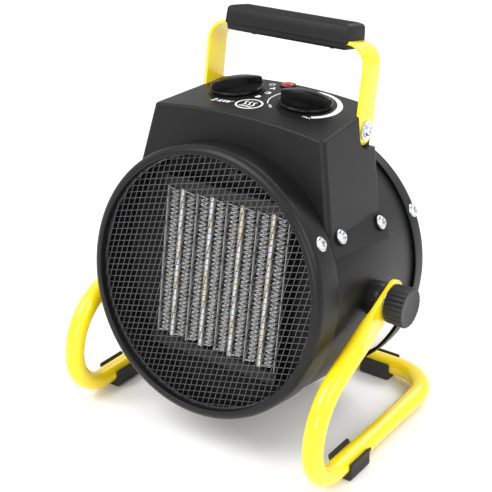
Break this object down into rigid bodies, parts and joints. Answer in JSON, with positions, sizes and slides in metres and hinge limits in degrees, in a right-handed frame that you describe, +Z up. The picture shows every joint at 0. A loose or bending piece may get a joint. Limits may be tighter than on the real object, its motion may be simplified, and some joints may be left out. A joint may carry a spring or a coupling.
{
  "type": "ceramic fan heater",
  "caption": "Round drum fan heater with a ceramic element behind a wire grille, a top control box, a strap handle and a tilting bent-tube stand with clamp knobs.",
  "frame": {"origin": "on the floor, under the middle of the object's outline", "axes": "+Z up; the heater blows towards -Y; +X is on the right seen from the front"},
  "size_m": [0.2556, 0.2012, 0.3032],
  "materials": {
    "drum_black": "satin black powder coat with a fine grain",
    "housing_black": "black moulded plastic with a fine spark texture",
    "yellow_paint": "glossy yellow powder coat",
    "foot_rubber": "black rubber",
    "knob_black": "glossy black plastic",
    "clamp_black": "semi-gloss black plastic",
    "grip_black": "matte black plastic",
    "zinc": "bright zinc-plated steel",
    "grille_wire": "dark coated steel wire",
    "ceramic": "cream fired ceramic, opaque",
    "element_aluminium": "plain aluminium foil and strip",
    "inner_steel": "galvanised sheet steel",
    "motor_iron": "steel laminations and windings",
    "insulator": "black heat-proof moulding",
    "lamp_red": "clear red lens",
    "label_white": "blank white foil label"
  },
  "bodies": {
    "stand": {"stand_tube": "yellow_paint", "foot_clip_front_right": "foot_rubber", "foot_clip_front_left": "foot_rubber", "foot_clip_rear_right": "foot_rubber", "foot_clip_rear_left": "foot_rubber"},
    "heater": {"drum_shell": "drum_black", "front_bezel": "drum_black", "rear_ring": "drum_black", "front_grille": "grille_wire", "rear_grille": "grille_wire", "front_bezel_screws": "zinc", "rear_ring_screws": "zinc", "control_housing": "housing_black", "housing_screws": "zinc", "cable_bushing": "foot_rubber", "terminal_block": "insulator", "power_lamp": "lamp_red", "handle_strap": "yellow_paint", "grip_upper": "grip_black", "grip_lower": "grip_black", "grip_screws": "zinc", "handle_bolts": "zinc", "handle_washers": "zinc", "ceramic_tiles": "ceramic", "contact_plates": "element_aluminium", "fin_ribbons": "element_aluminium", "element_rail_top": "insulator", "element_rail_bottom": "insulator", "element_baffle": "inner_steel", "thermal_cutout": "inner_steel", "motor_can": "inner_steel", "motor_stator": "motor_iron", "motor_bracket": "inner_steel", "bracket_screws": "zinc", "rating_plate": "label_white", "selector_control": "insulator", "thermostat_control": "insulator", "pivot_spacer_right": "clamp_black", "pivot_spacer_left": "clamp_black", "nut_plate_right": "zinc", "nut_plate_left": "zinc"},
    "fan": {"fan_impeller": "insulator", "motor_rotor": "motor_iron", "motor_shaft": "zinc"},
    "selector": {"selector_knob": "knob_black", "selector_spindle": "zinc"},
    "thermostat": {"thermostat_knob": "knob_black", "thermostat_spindle": "zinc"},
    "clamp_right": {"clamp_knob_right": "clamp_black", "clamp_stud_right": "zinc", "clamp_washer_right": "zinc"},
    "clamp_left": {"clamp_knob_left": "clamp_black", "clamp_stud_left": "zinc", "clamp_washer_left": "zinc"}
  },
  "joints": [
    {"name": "tilt", "type": "hinge", "parent": "stand", "child": "heater", "pos_m": [0, 0.002, 0.118], "axis": [1, 0, 0], "range_deg": [-5, 24]},
    {"name": "fan_spin", "type": "hinge", "parent": "heater", "child": "fan", "pos_m": [0, 0.002, 0.118], "axis": [0, 0.9877, -0.1564], "continuous": true},
    {"name": "selector_turn", "type": "hinge", "parent": "heater", "child": "selector", "pos_m": [-0.0302, 0.01291, 0.24546], "axis": [-0.0623, -0.0261, 0.9977], "range_deg": [-66, 0]},
    {"name": "thermostat_turn", "type": "hinge", "parent": "heater", "child": "thermostat", "pos_m": [0.0296, 0.01291, 0.24549], "axis": [0.061, -0.0261, 0.9978], "range_deg": [-232, 36]},
    {"name": "clamp_right_turn", "type": "hinge", "parent": "heater", "child": "clamp_right", "pos_m": [0.12, 0.002, 0.118], "axis": [1, 0, 0], "range_deg": [0, 360]},
    {"name": "clamp_left_turn", "type": "hinge", "parent": "heater", "child": "clamp_left", "pos_m": [-0.12, 0.002, 0.118], "axis": [-1, 0, 0], "range_deg": [0, 360]}
  ]
}
